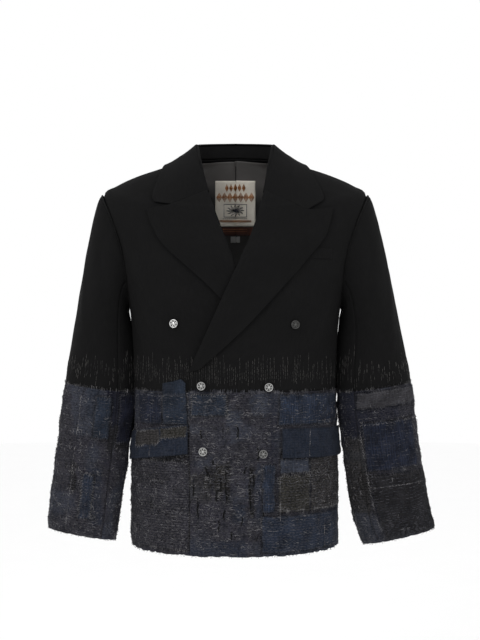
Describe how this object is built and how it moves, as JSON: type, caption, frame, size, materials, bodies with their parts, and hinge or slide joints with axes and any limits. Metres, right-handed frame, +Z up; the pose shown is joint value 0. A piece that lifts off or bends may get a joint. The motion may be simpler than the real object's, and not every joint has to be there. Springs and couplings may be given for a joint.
{
  "type": "patched double-breasted jacket",
  "caption": "Tailored double-breasted jacket, peak lapels, plain black cloth above and pieced, patched and hand-stitched boro cloth on the lower body and forearms, filled out as if worn.",
  "frame": {"origin": "middle of the neck opening, level with the points where the shoulder seams meet the neck, where the wearer's shoulders hold the jacket up", "axes": "+Z up, the front faces -Y, +X is the wearer's left"},
  "size_m": [0.6944, 0.2842, 0.7426],
  "materials": {
    "black_cloth": "matt black twill",
    "boro_cloth": "worn, frayed, hand-stitched charcoal and indigo cloth",
    "patch_cloth": "worn indigo, grey and olive scraps",
    "lining_satin": "dark grey satin",
    "label_ivory": null,
    "label_strip": "dark brown woven tape",
    "size_tab": "grey woven tape",
    "metal_button": null
  },
  "bodies": {
    "root": {"back_left_skirt": "boro_cloth", "back_left_top": "black_cloth", "back_lining": "lining_satin", "back_right_skirt": "boro_cloth", "back_right_top": "black_cloth", "breast_welt": "black_cloth", "button_chest_left": "metal_button", "button_chest_right": "metal_button", "button_hip_inner": "metal_button", "button_hip_outer": "metal_button", "button_waist_inner": "metal_button", "button_waist_outer": "metal_button", "collar_fall": "black_cloth", "collar_stand": "black_cloth", "flap_left": "boro_cloth", "flap_right": "boro_cloth", "front_left_skirt": "boro_cloth", "front_left_top": "black_cloth", "front_right_skirt": "boro_cloth", "front_right_top": "black_cloth", "label": "label_ivory", "label_strip": "label_strip", "lapel_left": "black_cloth", "lapel_right": "black_cloth", "patch_back_left_charcoal": "patch_cloth", "patch_back_left_navy": "patch_cloth", "patch_back_right_blue": "patch_cloth", "patch_back_right_navy": "patch_cloth", "patch_flap_right_charcoal": "patch_cloth", "patch_flap_right_olive": "patch_cloth", "patch_front_left_blue": "patch_cloth", "patch_front_left_brown": "patch_cloth", "patch_front_left_hem": "patch_cloth", "patch_front_left_olive": "patch_cloth", "patch_front_left_pocket": "patch_cloth", "patch_front_left_strip": "patch_cloth", "patch_front_left_striped": "patch_cloth", "patch_front_right_blue": "patch_cloth", "patch_front_right_charcoal": "patch_cloth", "patch_front_right_navy": "patch_cloth", "patch_sleeve_left_back": "patch_cloth", "patch_sleeve_left_band": "patch_cloth", "patch_sleeve_left_charcoal": "patch_cloth", "patch_sleeve_left_navy": "patch_cloth", "patch_sleeve_right_back": "patch_cloth", "patch_sleeve_right_blue": "patch_cloth", "patch_sleeve_right_navy": "patch_cloth", "patch_sleeve_right_strip": "patch_cloth", "size_tab": "size_tab", "sleeve_left_top_lower": "boro_cloth", "sleeve_left_top_upper": "black_cloth", "sleeve_left_under_lower": "boro_cloth", "sleeve_left_under_upper": "black_cloth", "sleeve_right_top_lower": "boro_cloth", "sleeve_right_top_upper": "black_cloth", "sleeve_right_under_lower": "boro_cloth", "sleeve_right_under_upper": "black_cloth"}
  },
  "joints": []
}
